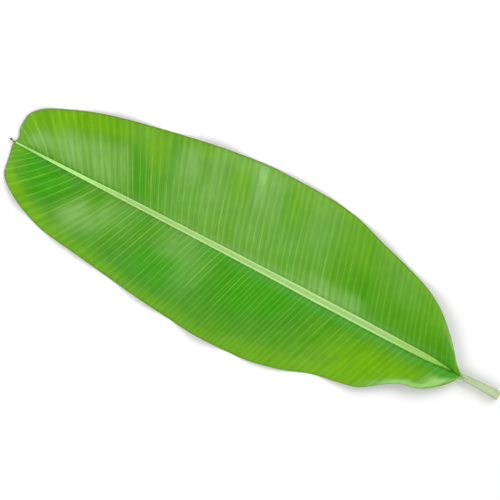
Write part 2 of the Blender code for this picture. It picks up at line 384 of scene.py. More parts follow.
def curve(points, at, column=1):
    """Read a smooth curve through points, whose first values rise, at an array of places."""
    table = np.array(points, dtype=float)
    places = table[:, 0]
    heights = table[:, column]
    secants = np.diff(heights) / np.diff(places)
    before = secants[:-1]
    after = secants[1:]
    slopes = np.zeros(len(places))
    slopes[0] = secants[0]
    slopes[-1] = secants[-1]
    same_way = before * after > 0.0
    total = np.where(same_way, before + after, 1.0)
    slopes[1:-1] = np.where(same_way, 2.0 * before * after / total, 0.0)
    held = np.clip(at, places[0], places[-1])
    index = np.clip(np.searchsorted(places, held), 1, len(places) - 1)
    run = places[index] - places[index - 1]
    share = (held - places[index - 1]) / run
    start = heights[index - 1]
    end = heights[index]
    start_slope = slopes[index - 1] * run
    end_slope = slopes[index] * run
    turn = start_slope + end_slope - 2.0 * (end - start)
    swing = 3.0 * (end - start) - 2.0 * start_slope - end_slope
    return start + share * (start_slope + share * (swing + share * turn))


def rim_height(place):
    """Height of the midrib's two rims above the surface that the leaf lies on."""
    share = np.clip((place - ARCH_START) / (BLADE_LENGTH - ARCH_START), 0.0, 1.0)
    arch = ARCH_RISE * np.sin(math.pi * share) ** 2
    curl = SPUR_RISE * np.maximum(place - BLADE_LENGTH, 0.0)
    return curve(MIDRIB_DEPTH, place) + arch + curl


def side_shift(place):
    """Sideways bend of the dry tip, to the right, and of the petiole, to the left."""
    spur = SPUR_SIDE * np.maximum(place - BLADE_LENGTH, 0.0)
    petiole = PETIOLE_SIDE * np.maximum(-place, 0.0) / PETIOLE_LENGTH
    return petiole - spur


def edge_height(side, root):
    """Height of the margin, where the vein that starts at root ends."""
    turns = (root - EDGE_WAVE_START[side]) / EDGE_WAVE_LENGTH[side]
    slow = 1.0 + SLOW_WAVE_SHARE * np.cos(2.0 * math.pi * turns * SLOW_WAVE_RATE)
    lying = LYING_MARGIN + EDGE_WAVE * slow * 0.5 * (1.0 - np.cos(2.0 * math.pi * turns))
    to_tip = ease((root - BLADE_LENGTH + LOBE_LENGTH) / LOBE_LENGTH)
    lying = lying + to_tip * (rim_height(np.array(BLADE_LENGTH)) - lying)
    lobe = root / LOBE_LENGTH
    lift = LOBE_LIFT[side] * np.sin(math.pi * np.minimum(lobe, 1.0))
    base = rim_height(np.array(0.0))
    return base + ease(lobe) * (lying - base) + lift


def vein_places(side, sizes):
    """Places of the lateral veins' roots along the midrib, unevenly spaced as in a grown leaf."""
    pitch = (sizes.left_vein_pitch if side == "left" else sizes.right_vein_pitch) / MM
    along = np.linspace(0.0, BLADE_LENGTH, SPACING_STEPS)
    closeness = 1.0 / (pitch * curve(VEIN_SPACING[side], along))
    passed = np.cumsum(closeness) * (along[1] - along[0])
    count = int(round(passed[-1]))
    draw = np.random.default_rng(RELIEF_SEED + int(TURN[side]))
    steps = 1.0 + VEIN_JITTER * draw.uniform(-1.0, 1.0, count)
    places = np.concatenate(([0.0], np.cumsum(steps)))
    return np.interp(places * passed[-1] / places[-1], passed - passed[0], along)


def patch_field(patches, root, share):
    """Sum of soft patches that run along the veins, from 0 to PATCH_LIMIT."""
    field = np.zeros(np.broadcast(root, share).shape)
    for place, middle, half_width, half_length, strength in patches:
        across = np.abs((root - place) / half_width) ** PATCH_EDGE_ACROSS
        along = np.abs((share - middle) / half_length) ** PATCH_EDGE_ALONG
        field = field + strength * np.exp(-across - along)
    return np.clip(field, 0.0, PATCH_LIMIT)


def swell(side, root, share):
    """Low pleats along the veins, which catch the light in strips."""
    height = np.zeros(np.broadcast(root, share).shape)
    for length, rise, turn in SWELLS:
        angle = 2.0 * math.pi * root / length + turn * (1.0 + TURN[side])
        height = height + rise * np.sin(angle + SWELL_SLANT * share)
    return height * ease(share / SWELL_START) * (1.0 - SWELL_FADE * share)


def blade_surface(side, root, share, phase, pleat):
    """Upper face of one half: places along, across and above, in millimetres."""
    rim = curve(BLADE_ROOT, root)
    reach = np.maximum(curve(MARGIN[side], root, 2), rim)
    forward = curve(MARGIN[side], root, 1) - root
    droop = share ** DROOP_POWER
    width = ease(reach / CREST_REACH)
    above = rim_height(root) * (1.0 - droop) + edge_height(side, root) * droop
    crest = CREST_RISE * (1.0 - np.exp(-reach / CREST_REACH))
    above = above + crest * np.sin(math.pi * share ** CREST_SHIFT)
    away = (reach - rim) * share
    above = above - CREASE_DEPTH * np.exp(-away / CREASE_REACH) * width
    between = np.abs(np.sin(math.pi * phase)) ** PLEAT_EXPONENT - PLEAT_MEAN
    pleated = width * ease(away / PLEAT_START) * (1.0 - PLEAT_FADE * share ** 3)
    above = above + pleat * between * pleated
    above = above + swell(side, root, share) * width
    return root + forward * share ** VEIN_BEND, rim + away, above


def on_frame(along, across, above):
    """Points in metres, in the frame, from millimetres along, across and above."""
    return np.stack(np.broadcast_arrays(along, across, above), axis=-1) * MM + BLADE_BASE


def bare_object(name, data):
    """New object in the scene, at the origin, around a mesh, a light or a camera."""
    piece = bpy.data.objects.new(name, data)
    bpy.context.scene.collection.objects.link(piece)
    return piece


def place_piece(piece):
    """Let a finished piece ride on the leaf's body and stand for the leaf's solid."""
    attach(piece, BODY)
    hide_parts(NODE)


def loft(name, rings, attributes, materials, runs=None, turns=None, bands=0):
    """Closed mesh through rings of points, with an end face at each end.

    runs and turns are the UV places along the loft and round each ring, which has one place more
    than it has points, and bands gives the material of each strip of faces between two points.
    """
    rows, size = rings.shape[:2]
    runs = np.linspace(0.0, 1.0, rows)[:, None] if runs is None else runs
    turns = np.linspace(0.0, 1.0, size + 1) if turns is None else turns
    row = np.repeat(np.arange(rows - 1), size)
    step = np.tile(np.arange(size), rows - 1)
    corners = [(row, step), (row, step + 1), (row + 1, step + 1), (row + 1, step)]
    quads = np.stack([ahead * size + beside % size for ahead, beside in corners], axis=-1)
    faces = quads.tolist()
    faces.append(list(range(size))[::-1])
    faces.append(list(range((rows - 1) * size, rows * size)))
    mesh = bpy.data.meshes.new(name)
    mesh.from_pydata(rings.reshape(-1, 3).tolist(), [], faces)
    places = np.zeros((len(mesh.loops), 2))
    runs = np.broadcast_to(runs, (rows, size + 1))
    run = np.stack([runs[corner] for corner in corners], axis=-1)
    turn = np.stack([turns[beside] for _, beside in corners], axis=-1)
    places[:quads.size] = np.stack((run.ravel(), turn.ravel()), axis=-1)
    places[quads.size:] = OFF_MAP
    mesh.uv_layers.new(name=UV_NAME).data.foreach_set("uv", places.ravel())
    for key, values in attributes.items():
        layer = mesh.attributes.new(key, "FLOAT", "POINT")
        layer.data.foreach_set("value", np.broadcast_to(values, (rows, size)).ravel())
    for material in materials:
        mesh.materials.append(material)
    strips = np.tile(np.broadcast_to(bands, size), rows - 1)
    mesh.polygons.foreach_set("material_index", np.append(strips, (0, 0)))
    bm = bmesh.new()
    bm.from_mesh(mesh)
    bmesh.ops.remove_doubles(bm, verts=bm.verts[:], dist=WELD)
    bmesh.ops.recalc_face_normals(bm, faces=bm.faces[:])
    bm.to_mesh(mesh)
    bm.free()
    mesh.shade_smooth()
    return bare_object(name, mesh)


def round_shell(upper, lower=None, start=None, end=None):
    """Values round a thin shell: at its tucked root, over its top, back under it and at the root."""
    lower = upper if lower is None else lower
    start = upper[:, :1] if start is None else start
    return np.hstack((start, upper, lower[:, ::-1], start if end is None else end))


def blade_half(side, sizes, materials):
    """One half of the blade: a thin closed shell with pleats, and values that its material reads."""
    veins = vein_places(side, sizes)
    steps = np.linspace(0.0, 1.0, sizes.rows + 1)[:, None]
    root = BLADE_LENGTH * (steps - ROW_CROWDING * np.sin(2.0 * math.pi * steps) / (2.0 * math.pi))
    share = np.linspace(0.0, 1.0, sizes.columns + 1)[None, :] ** COLUMN_CROWDING
    breadth = np.maximum(curve(MARGIN[side], root, 2) - curve(BLADE_ROOT, root), 0.0)
    swept = root - VEIN_SWEEP[side] * (1.0 - np.exp(-breadth * share / SWEEP_REACH))
    phase = np.interp(swept, veins, np.arange(len(veins))) + np.minimum(swept, 0.0) / veins[1]
    clear = curve(VEIN_CLEARNESS[side], root)
    along, across, above = blade_surface(side, root, share, phase, clear * sizes.pleat_height / MM)
    margin = sizes.margin_thickness / MM
    thickness = margin + (ROOT_THICKNESS - margin) * (1.0 - share) ** THINNING
    above = np.maximum(above, thickness + LYING_GAP)
    tuck = above[:, :1] - 0.5 * ROOT_SINK
    shares = round_shell(share)
    phase = round_shell(phase)
    across = round_shell(across, start=across[:, :1] - ROOT_TUCK) * TURN[side]
    across = across + curve(MIDRIB_BOW, root) * (1.0 - shares) ** 2
    above = round_shell(above, above - thickness, tuck, tuck - ROOT_SINK)
    turns = np.hstack((0.0, UPPER_START + UPPER_SPAN * share[0],
                       1.0 - UPPER_START - UPPER_SPAN * share[0, ::-1], 1.0, 1.0 + TURN_PAST))
    values = {"phase": phase, "share": shares, "from_rim": breadth * shares,
              "from_margin": breadth * (1.0 - shares), "clear": clear}
    for key, patches in PATCHES.items():
        values[key] = patch_field(patches[side], root, shares)
    runs = np.hstack((phase, phase[:, :1])) / (len(veins) - 1)
    bands = np.repeat((0, 1), shares.shape[1] // 2)
    rings = on_frame(round_shell(along), across, above)
    return loft("blade_" + side, rings, values, materials, runs, turns, bands)


def midrib_control(place):
    """Points down one side of the midrib's section, from the channel's middle to the keel's."""
    rim = curve(RIM_HALF_WIDTH, place)
    keel = curve(KEEL_HALF_WIDTH, place)
    depth = curve(MIDRIB_DEPTH, place)
    dip = DIP_DEPTH * window(place, *DIP)
    top = rim_height(place) - dip
    channel = CHANNEL_SHARE * 2.0 * np.minimum(rim, depth)
    lip = np.minimum(LIP_RISE, LIP_SHARE * rim) * (1.0 - window(place, *FLAT_LIPS))
    neck = np.maximum(NECK_SHARE * keel, rim + NECK_CLEARANCE)
    belly = np.maximum(keel, neck)
    body = depth - dip - ROOT_THICKNESS
    under = top - ROOT_THICKNESS
    points = [(share * rim, top - drop * channel) for share, drop in CHANNEL_SECTION]
    points += [(rim - LIP_INSIDE, top + lip), (rim + LIP_OUTSIDE, top - LIP_DROP)]
    points += [(neck, under - NECK_DROP * body)]
    points += [(share * belly, under - drop * body) for share, drop in BELLY_SECTION]
    points += [(KEEL_FLAT * keel, under - body), (0.0 * keel, under - body)]
    across, above = zip(*points)
    return np.stack(across, axis=-1), np.stack(above, axis=-1)


def smooth_ring(across, above, samples):
    """Closed rings through the control points of one side and their mirror image.

    Also gives each point's place down the side, from 0 at the channel to 1 at the keel.
    """
    across = np.hstack((-across[:, 1:2], across, -across[:, -2:-1]))
    above = np.hstack((above[:, 1:2], above, above[:, -2:-1]))
    control = np.stack((across, above), axis=-1)
    spans = control.shape[1] - 3
    t = (np.arange(samples) / samples)[None, :, None]
    parts = []
    for span in range(spans):
        before, start, end, after = (control[:, span + step, None, :] for step in range(4))
        linear_part = (end - before) * t
        square_part = (2.0 * before - 5.0 * start + 4.0 * end - after) * t ** 2
        cube_part = (3.0 * start - before - 3.0 * end + after) * t ** 3
        parts.append(start + 0.5 * (linear_part + square_part + cube_part))
    parts.append(control[:, spans + 1, None, :])
    half = np.concatenate(parts, axis=1)
    down = np.arange(half.shape[1]) / (half.shape[1] - 1)
    mirrored = half[:, -2:0:-1] * np.array((-1.0, 1.0))
    return np.concatenate((half, mirrored), axis=1), np.concatenate((down, down[-2:0:-1]))


def midrib_places(rows):
    """Places of the midrib's sections, closer together at the blade's base and at the tip."""
    at, density = np.array(SECTION_DENSITY).T
    passed = np.concatenate(([0.0], np.cumsum(np.diff(at) * 0.5 * (density[1:] + density[:-1]))))
    return np.interp(np.linspace(0.0, 1.0, rows + 1) * passed[-1], passed, at)


def midrib_piece(sizes, materials):
    """Midrib and petiole in one smooth closed piece, hollow on top and rounded underneath."""
    place = midrib_places(sizes.rows)
    place = np.concatenate((place[:1], place))
    section, down = smooth_ring(*midrib_control(place), sizes.samples)
    groove = np.sin(math.pi * np.clip(down / GROOVE_END, 0.0, 1.0)) ** 2
    fluted = (1.0 - ease((down - FLUTE_END) / FLUTE_RUN)) * (1.0 - groove)
    flutes = np.cos(2.0 * math.pi * down * FLUTES) * fluted * sizes.flute_depth / MM
    outward = section - section.mean(axis=1, keepdims=True)
    outward = outward / np.maximum(np.linalg.norm(outward, axis=2, keepdims=True), 1e-6)
    size = np.minimum(curve(KEEL_HALF_WIDTH, place) / FULL_KEEL, 1.0)[:, None, None]
    section = section + outward * flutes[None, :, None] * size
    along = np.broadcast_to(place[:, None], section.shape[:2])
    across = section[:, :, 0] + (side_shift(place) + curve(MIDRIB_BOW, place))[:, None]
    above = np.maximum(section[:, :, 1], KEEL_GAP)
    # The fibres fade out in the channel beside the blade, and under the blade's fold
    down = down[None, :]
    upper = ease((UPPER_DOWN - down) / UPPER_RUN) * ease((along - BLADE_START) / BLADE_RUN)
    folded = window(down, *HIDDEN_DOWN) * window(along, *HIDDEN_ALONG)
    clear = (1.0 - UPPER_FADE * upper) * (1.0 - FOLD_FADE * folded)
    values = {"along": along, "down": down, "clear": clear}
    runs = ((place - place[0]) / (place[-1] - place[0]))[:, None]
    rings = on_frame(along, across, above)
    outline = rings[0].copy()
    middle = outline.mean(axis=0)
    rings[0] = middle + (outline - middle) * CUT_INSET
    rings[0, :, 0] += CUT_DEPTH * MM
    return loft("midrib", rings, values, materials, runs), outline


def cut_face(outline, materials):
    """Cut end of the petiole: rings from its middle to its outline, a little hollow, and back."""
    centre = outline.mean(axis=0)
    shares, depths = np.array(CUT_RINGS).T
    rings = centre + (outline - centre) * shares[:, None, None]
    rings[:, :, 0] += (depths - CUT_PROUD)[:, None] * MM
    return loft("cut_face", rings, {"to_skin": shares[:, None]}, materials)


def tube(name, middle, half, tall, withered, materials):
    """Closed tube through middle points, with half widths and half heights round each one."""
    turn = np.linspace(0.0, 2.0 * math.pi, half.shape[1], endpoint=False)[None, :]
    rings = on_frame(middle[:, :1] + 0.0 * turn, middle[:, 1:2] + half * np.cos(turn),
                     middle[:, 2:] + tall * np.sin(turn))
    return loft(name, rings, {"withered": withered}, materials)


def dry_tip(sizes, materials):
    """Withered spur at the tip: a short wrinkled stub with a thin neck and a dark knob."""
    step = np.linspace(0.0, 1.0, TIP_STEPS)[:, None]
    turn = np.linspace(0.0, 2.0 * math.pi, TIP_SIDES, endpoint=False)[None, :]
    place = TIP_HALF_WIDTH[0][0] + (TIP_HALF_WIDTH[-1][0] - TIP_HALF_WIDTH[0][0]) * step
    folds = 1.0
    for depth, count, twist in TIP_FOLDS:
        folds = folds + depth * np.sin(count * turn + twist * step)
    half = curve(TIP_HALF_WIDTH, place) * folds * sizes.tip_width
    tall = half * (TIP_FLATNESS + TIP_ROUNDING * step)
    above = curve(MIDRIB_DEPTH, place) + SPUR_RISE * np.maximum(place - BLADE_LENGTH, 0.0)
    above = above - 0.5 * curve(TIP_HALF_WIDTH, place)
    across = side_shift(place) + TIP_SWAY * np.sin(TIP_SWAY_TURN * step) * step
    return tube("dry_tip", np.hstack((place, across, above)), half, tall, step, materials)


def tip_curl(materials):
    """Pale rolled corner of the right half beside the tip, its pale colour partly a painted highlight.
    """
    path = np.array(CURL_PATH)
    step = np.linspace(0.0, 1.0, CURL_STEPS)[:, None]
    at = np.linspace(0.0, 1.0, len(path))
    middle = np.hstack([np.interp(step, at, path[:, axis]) for axis in range(3)])
    close = np.clip(1.0 - (2.0 * step - 1.0) ** CURL_ENDS, CURL_CLOSED, 1.0) ** 0.5
    radius = CURL_RADIUS * close * np.ones((1, CURL_SIDES))
    return tube("tip_curl", middle, radius, CURL_FLATNESS * radius, 0.0 * step, materials)


def add_node(tree, kind, inputs=(), out=0, **settings):
    """Add a node with its settings and its inputs, in order or by name, and give one output."""
    kinds = [family + kind for family in NODE_FAMILIES]
    node = tree.nodes.new(next(kind for kind in kinds if hasattr(bpy.types, kind)))
    for key, value in settings.items():
        setattr(node, key, value)
    named = inputs if isinstance(inputs, dict) else dict(enumerate(inputs))
    for key, value in named.items():
        if isinstance(value, bpy.types.NodeSocket):
            tree.links.new(value, node.inputs[key])
        else:
            node.inputs[key].default_value = value
    return node.outputs[out] if node.outputs else None


def growing_tree(name, inputs, grow):
    """Geometry Nodes tree with named inputs, whose growth ends as real faces with a material."""
    if name in bpy.data.node_groups:
        return bpy.data.node_groups[name]
    tree = bpy.data.node_groups.new(name, "GeometryNodeTree")
    for key, kind in {"Geometry": "Geometry", **inputs, "Material": "Material"}.items():
        tree.interface.new_socket(key, in_out="INPUT", socket_type="NodeSocket" + kind)
    tree.interface.new_socket("Geometry", in_out="OUTPUT", socket_type="NodeSocketGeometry")
    add = partial(add_node, tree)
    given = add("GroupInput").node.outputs
    smooth = add("SetShadeSmooth", (grow(add, given),))
    real = add("RealizeInstances", (smooth,))
    finished = add("SetMaterial", {"Geometry": real, "Material": given["Material"]})
    add("GroupOutput", (finished,))
    return tree


def surface_lines(add, given):
    """Lay evenly stepped lines on a surface by its UV map, and give them thickness."""
    position = add("InputPosition")
    uv_map = add("InputNamedAttribute", {"Name": UV_NAME}, data_type="FLOAT_VECTOR")
    clear = add("InputNamedAttribute", {"Name": "clear"}, data_type="FLOAT")
    starts = add("MeshLine", {
        "Count": given["Lines"], "Start Location": given["First Line"],
        "Offset": given["Line Step"]}, mode="OFFSET")
    line = add("CurvePrimitiveLine", {"End": given["Line Reach"]})
    stepped = add("ResampleCurve", {"Curve": line, "Count": given["Points"]}, mode="COUNT")
    repeated = add("InstanceOnPoints", {"Points": starts, "Instance": stepped})
    flat = add("RealizeInstances", (repeated,))
    source = {"Mesh": given["Geometry"], "UV Map": uv_map, "Sample UV": position}
    surface = add("SampleUVSurface", {**source, "Value": position}, data_type="FLOAT_VECTOR")
    clearness = add("SampleUVSurface", {**source, "Value": clear}, data_type="FLOAT")
    lost = add("BooleanMath", (surface.node.outputs["Is Valid"],), operation="NOT")
    found = add("DeleteGeometry", (flat, lost), domain="POINT")
    faint = add("Math", (1.0, clearness), operation="SUBTRACT")
    thinned = add("Math", (faint, given["Clearness Share"]), operation="MULTIPLY")
    kept = add("Math", (1.0, thinned), operation="SUBTRACT")
    stored = add("StoreNamedAttribute", {
        "Geometry": found, "Name": "kept", "Value": kept}, data_type="FLOAT", domain="POINT")
    laid = add("SetPosition", {"Geometry": stored, "Position": surface})
    along = add("SplineParameter")
    radius = add("MapRange", {"Value": along, "To Min": 1.0, "To Max": given["End Radius Share"]})
    noise = add("TexNoise", {
        "Vector": position, "W": given["Seed"], "Scale": given["Unevenness Scale"], "Detail": 1.0,
    }, noise_dimensions="4D")
    centred = add("Math", (noise, 0.5), operation="SUBTRACT")
    uneven = add("Math", (centred, given["Unevenness"], 1.0), operation="MULTIPLY_ADD")
    kept = add("InputNamedAttribute", {"Name": "kept"}, data_type="FLOAT")
    for share in (uneven, kept, given["Radius"]):
        radius = add("Math", (radius, share), operation="MULTIPLY")
    profile = add("CurvePrimitiveCircle", {"Resolution": given["Sides"], "Radius": 1.0})
    return add("CurveToMesh", {
        "Curve": laid, "Profile Curve": profile, "Scale": radius, "Fill Caps": True})


def cell_rims(add, given):
    """Scatter small open-ended cell rims over the petiole's cut face."""
    normal = add("InputNormal")
    facing = add("VectorMath", (normal, (-1.0, 0.0, 0.0)), out="Value", operation="DOT_PRODUCT")
    outer = add("Compare", (facing, 0.7), operation="GREATER_THAN", data_type="FLOAT")
    skin = add("InputNamedAttribute", {"Name": "to_skin"}, data_type="FLOAT")
    inside = add("Compare", (skin, 0.9), operation="LESS_THAN", data_type="FLOAT")
    chosen = add("BooleanMath", (outer, inside))
    points = add("DistributePointsOnFaces", {
        "Mesh": given["Geometry"], "Selection": chosen, "Distance Min": given["Spacing"],
        "Density Max": CELL_DENSITY, "Seed": given["Seed"]}, distribute_method="POISSON")
    circle, wall = (
        add("CurvePrimitiveCircle", {"Resolution": sides, "Radius": given[key]})
        for sides, key in ((12, "Radius"), (6, "Wall")))
    rim = add("CurveToMesh", {"Curve": circle, "Profile Curve": wall})
    size = add("RandomValue", {
        "Min": CELL_SIZE[0], "Max": CELL_SIZE[1], "Seed": given["Seed"]}, data_type="FLOAT_VECTOR")
    return add("InstanceOnPoints", {
        "Points": points, "Instance": rim, "Rotation": points.node.outputs["Rotation"], "Scale": size})


def grown_piece(name, source, tree, values):
    """Plain mesh piece that a Geometry Nodes tree grows on a source piece's mesh."""
    carrier = bare_object(name + "_carrier", source.data.copy())
    modifier = carrier.modifiers.new(tree.name, "NODES")
    modifier.node_group = tree
    for item in tree.interface.items_tree:
        if item.in_out == "INPUT" and item.name in values:
            modifier[item.identifier] = values[item.name]
    evaluated = carrier.evaluated_get(bpy.context.evaluated_depsgraph_get())
    mesh = bpy.data.meshes.new_from_object(evaluated)
    mesh.name = name
    carrier.modifiers.remove(modifier)
    spare = carrier.data
    bpy.data.objects.remove(carrier, do_unlink=True)
    bpy.data.meshes.remove(spare)
    if not mesh.polygons:
        raise RuntimeError(name + " came out empty")
    return bare_object(name, mesh)


def new_material(name, roughness, ior, gloss=0.5):
    """Material with typical values on its shader, and the call that adds nodes to it."""
    material = bpy.data.materials.new(name)
    material.use_nodes = True
    tree = material.node_tree
    values = {"Roughness": roughness, "IOR": ior, "Metallic": 0.0, "Specular IOR Level": gloss}
    for key, value in values.items():
        tree.nodes["Principled BSDF"].inputs[key].default_value = value
    return material, partial(add_node, tree)


def dressed(material, **patterns):
    """The material, with its finished patterns linked to its shader."""
    tree = material.node_tree
    for key, pattern in patterns.items():
        tree.links.new(pattern, tree.nodes["Principled BSDF"].inputs[key.replace("_", " ")])
    return material


def layered(add, body, *layers):
    """Body colour under other colours, each laid on by the product of the shares after it."""
    for colour, share, *factors in layers:
        for factor in factors:
            share = add("Math", (share, factor), operation="MULTIPLY")
        body = add("Mix", {0: share, 6: body, 7: colour}, out=2, data_type="RGBA")
    return body


def drawn_noise(add, place, stretch, detail=2.0, roughness=0.5, scale=1.0, shift=(0.0, 0.0, 0.0)):
    """Noise that is drawn out by its own amount along each axis."""
    drawn = add("VectorMath", (place, stretch, shift), operation="MULTIPLY_ADD")
    return add("TexNoise", {
        "Vector": drawn, "Scale": scale, "Detail": detail, "Roughness": roughness})


def blade_places(add):
    """What both faces read: the place in the leaf, the vein, the flat blade and the veinlets."""
    place = add("TexCoord", out="Object")
    phase, share = (add("Attribute", out="Fac", attribute_name=key) for key in ("phase", "share"))
    flat = add("CombineXYZ", (phase, share))
    veinlets = add("Math", (phase, VEINLETS), operation="MULTIPLY")
    return place, phase, flat, add("Math", (veinlets, 1.0), operation="PINGPONG")


def blade_relief(add, place, line, rise, strength, depth):
    """Fine relief of a blade's face: its cells, with the veinlets a little proud of them."""
    cells = add("TexVoronoi", {"Vector": place, "Scale": 1.0 / LEAF_CELL})
    ridge = add("Math", (line, rise, cells), operation="MULTIPLY_ADD")
    return add("Bump", {"Strength": strength, "Distance": depth, "Height": ridge})


def waxy_blade(colours):
    """Upper face of a fresh leaf: chlorophyll green under a thin wax cuticle.

    The wax gives a broad soft sheen, and its whitish patches are partly painted sheen and glare.
    Deep patches are partly painted shade, and darker green beside the midrib and between the veins
    is painted shade. Strips of slightly different green follow the lateral veins, and pale lines
    mark the veins and the finer ones between them. Real lines are 0.3 to 0.5 mm wide, too fine for
    the view, and are drawn about three times as wide.
    """
    material, add = new_material("Waxy leaf blade", 0.36, 1.42, 0.20)
    place, phase, flat, veinlet_turn = blade_places(add)
    from_rim, from_margin, bloom_and_sheen, ripe, deep_and_shade, clear = (
        add("Attribute", out="Fac", attribute_name=key)
        for key in ("from_rim", "from_margin", "bloom_and_sheen", "ripe", "deep_and_shade", "clear"))
    broad = drawn_noise(add, flat, (0.42, 1.3, 1.0), 2.0, 0.55)
    strips = drawn_noise(add, flat, (2.3, 1.9, 1.0), 3.0, 0.6)
    groups = drawn_noise(add, flat, (0.55, 1.6, 1.0), 2.0, 0.6, shift=(7.0, 3.0, 0.0))
    mottle = add("TexNoise", {"Vector": place, "Scale": 45.0, "Detail": 3.0, "Roughness": 0.6})

    # Deep stretches, partly painted shade, young stretches and bloomed stretches, partly painted sheen,
    # each broken up by the strips
    shadow = add("MapRange", (broad, 0.25, 0.75, 0.30, 0.0))
    deepened_and_shaded = add("MapRange", (strips, 0.30, 0.60, 0.70, 1.0))
    deepened_and_shaded = add("Math", (deepened_and_shaded, deep_and_shade), operation="MULTIPLY")
    deepened_and_shaded = add("Math", (deepened_and_shaded, shadow), use_clamp=True)
    pure = add("MapRange", (deep_and_shade, 0.85, 1.1))
    dark = layered(add, colours.deep_colour, (VIVID_GREEN, pure))
    tinged = add("MapRange", (strips, 0.35, 0.7, 0.0, 0.12))
    band = add("MapRange", (from_margin, 2.0, 30.0, 0.75, 0.0), **SMOOTH)
    young = add("Math", (ripe, band), operation="MAXIMUM")
    young_noise = add("MapRange", (strips, 0.30, 0.62, 0.35))
    young = add("Math", (young, young_noise), operation="MULTIPLY", use_clamp=True)
    bloom_and_sheen_noise = add("MapRange", (strips, 0.36, 0.62, 0.55, 1.0))
    body = layered(
        add, colours.blade_colour, (dark, deepened_and_shaded), (colours.vein_colour, tinged),
        (colours.young_colour, young), (colours.bloom_colour, bloom_and_sheen, bloom_and_sheen_noise))
    # Painted glare: where the bloom and sheen field passes 1, the colour is brightened
    painted_glare = add("MapRange", (bloom_and_sheen, 1.0, 1.5, 1.0, 1.35))
    body = add("VectorMath", {0: body, 3: painted_glare}, operation="SCALE")

    # Lines of the lateral veins, of the lesser ones between them and of the veinlets. Each has
    # its own strength.
    turn = add("Math", (phase, 0.5), operation="PINGPONG")
    line = add("MapRange", (veinlet_turn, 0.45, 0.0, 0.0, 0.22), **SMOOTH)
    veinlet = line
    for picked, weakest, strongest, near, far in (
            ("ROUND", 0.30, 0.90, 0.15, 0.0), ("FLOOR", 0.15, 0.65, 0.39, 0.5)):
        number = add("Math", (phase,), operation=picked)
        chance = add("TexWhiteNoise", {"W": number}, noise_dimensions="1D")
        own = add("MapRange", (chance, 0.0, 1.0, weakest, strongest))
        each = add("MapRange", (turn, near, far, 0.0, own), **SMOOTH)
        line = add("Math", (line, each), operation="MAXIMUM")
    fade = add("MapRange", (from_rim, 25.0, 110.0, 1.15, 0.40), **SMOOTH)
    grouped = add("MapRange", (groups, 0.32, 0.62, 0.30, 1.45))
    vivid = add("Math", (pure, young), operation="MAXIMUM")
    vein = layered(add, colours.vein_colour, (YOUNG_VEIN, vivid))
    # Painted shade: darker green in the crease where the blade leaves the midrib
    crease_shade = add("MapRange", (from_rim, 0.0, 2.0, 0.35, 0.0), **SMOOTH)
    body = layered(add, body, (vein, line, fade, grouped, clear), (colours.deep_colour, crease_shade))

    dapple = add("MapRange", (mottle, 0.25, 0.75, 0.93, 1.07))
    # Painted shade in the furrows midway between the veins, and a little lighter colour by the veins
    furrow_shade = add("MapRange", (turn, 0.12, 0.5, 1.05, 0.93), **SMOOTH)
    dapple = add("Math", (dapple, furrow_shade), operation="MULTIPLY")
    body = add("VectorMath", {0: body, 3: dapple}, operation="SCALE")
    wax = add("MapRange", (strips, 0.3, 0.7, 0.32, 0.40))
    bump = blade_relief(add, place, veinlet, 1.6, 0.35, 0.00012)
    return dressed(material, Base_Color=body, Roughness=wax, Normal=bump)


def matt_underside(colours):
    """Underside of a fresh leaf: paler and matter than the top, with clear veins and a thin bloom."""
    material, add = new_material("Matt leaf underside", 0.62, 1.40)
    place, _, flat, turn = blade_places(add)
    pale = add("MapRange", (drawn_noise(add, flat, (1.4, 2.2, 1.0), 3.0), 0.3, 0.7))
    line = add("MapRange", (turn, 0.4, 0.0, 0.0, 0.35))
    body = layered(add, colours.under_colour, (colours.bloom_colour, pale), (colours.vein_colour, line))
    bump = blade_relief(add, place, line, 2.0, 0.4, 0.00015)
    return dressed(material, Base_Color=body, Normal=bump)


def mottled_tissue(name, low, high, scale, span=(0.0, 1.0), values=(0.45, 1.42)):
    """Plain tissue that wanders between two colours."""
    material, add = new_material(name, *values)
    noise = add("TexNoise", {"Vector": add("TexCoord", out="Object"), "Scale": scale})
    body = layered(add, low, (high, add("MapRange", (noise, *span))))
    return dressed(material, Base_Color=body)


def raised_vein(colours):
    """Veins on the upper face: hardly paler than the blade, a little glossy where the wax stretches."""
    return mottled_tissue("Raised leaf vein", UPPER_VEIN, colours.vein_colour, 30.0,
                          (0.35, 0.65), (0.45, 1.42, 0.30))


def pale_vein(colours):
    """Veins underneath: thicker, paler and yellower than the matt blade between them."""
    return mottled_tissue("Pale vein underneath", colours.keel_colour, UNDER_VEIN, 30.0,
                          (0.35, 0.65), (0.45, 1.42, 0.30))


def cell_wall(colours):
    """Cell walls at the cut: thin cream rims that stand a little proud and catch the light."""
    return mottled_tissue("Cream cell wall", CUT_CREAM, colours.keel_colour, 400.0,
                          values=(0.40, 1.40))


def pale_curl(colours):
    """Rolled corner by the tip: pale green, partly its underside and partly a painted highlight."""
    return mottled_tissue("Pale rolled corner", CURL_HIGHLIGHT_GREEN, colours.vein_colour, 500.0)


def raised_fibre(colours):
    """Fibres on the petiole: pale, dry to the touch, standing a hair's breadth proud."""
    return mottled_tissue("Petiole fibre", colours.keel_colour, colours.petiole_colour, 30.0,
                          values=(0.50, 1.45))


